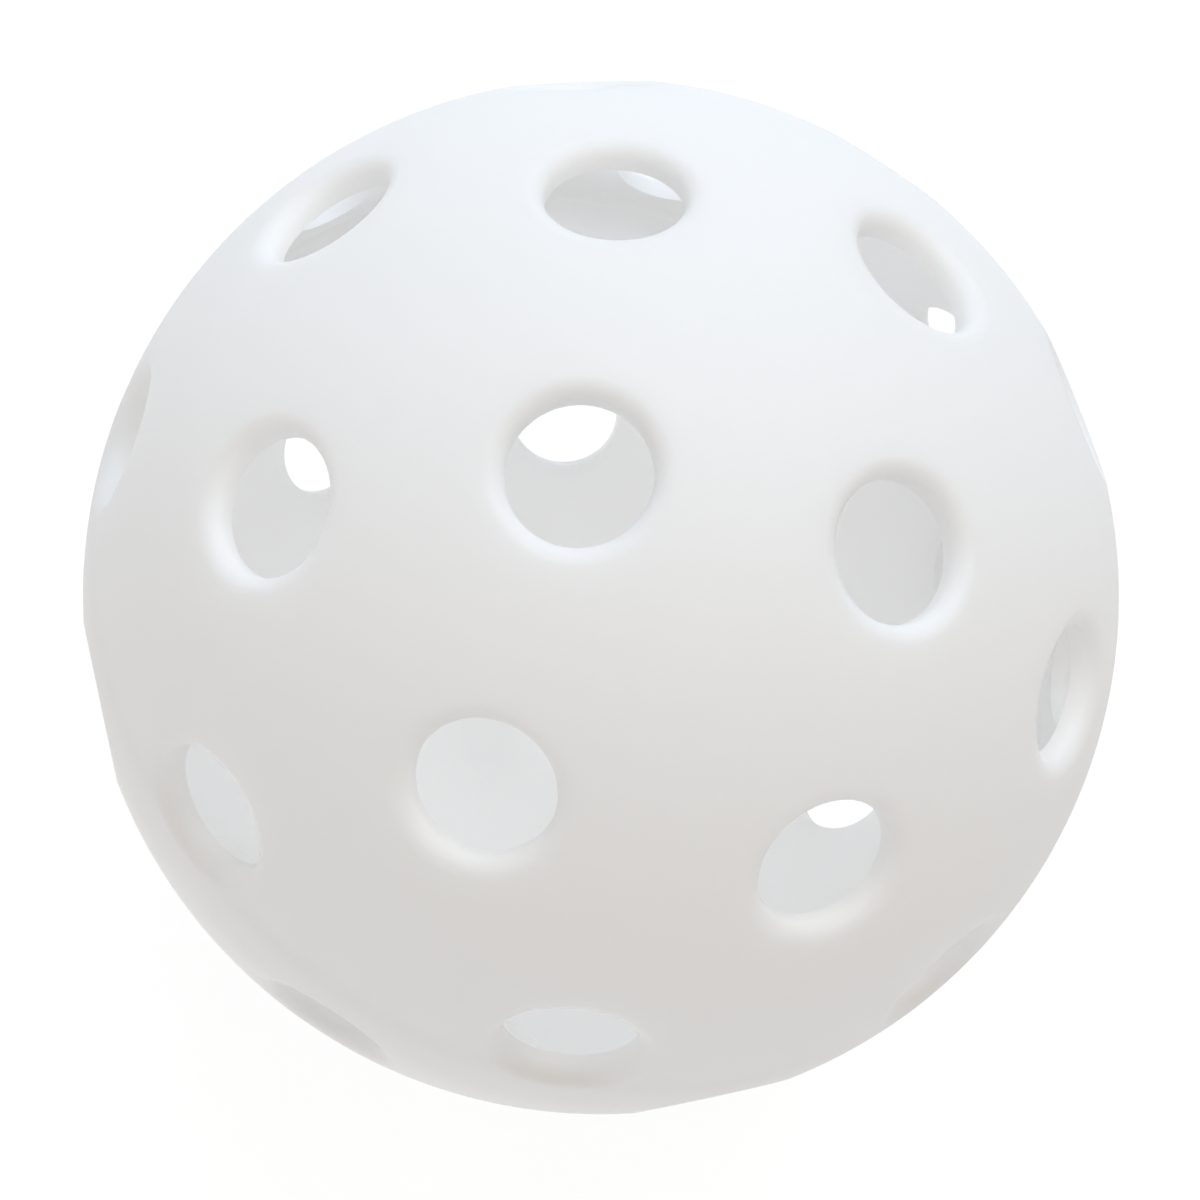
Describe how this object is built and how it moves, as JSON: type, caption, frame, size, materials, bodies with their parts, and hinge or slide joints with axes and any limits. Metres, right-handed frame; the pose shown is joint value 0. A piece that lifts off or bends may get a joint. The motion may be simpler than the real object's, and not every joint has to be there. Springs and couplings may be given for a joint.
{
  "type": "pickleball",
  "caption": "Hollow moulded plastic ball with rounded air holes all over its thin wall and half shells welded at a seam, for paddle play on a small court.",
  "frame": {"origin": "centre of the ball", "axes": "+Z through the pole of the half with the tongue; the seam lies in the XY plane; +X through the middle of an air hole beside the seam, on the upper half"},
  "size_m": [0.074, 0.074, 0.074],
  "materials": {
    "shell": "satin moulded polyethylene, white and slightly translucent",
    "weld": "fused polyethylene, same white"
  },
  "bodies": {
    "root": {"upper_half_shell": "shell", "lower_half_shell": "shell", "weld_bead": "weld"}
  },
  "joints": []
}
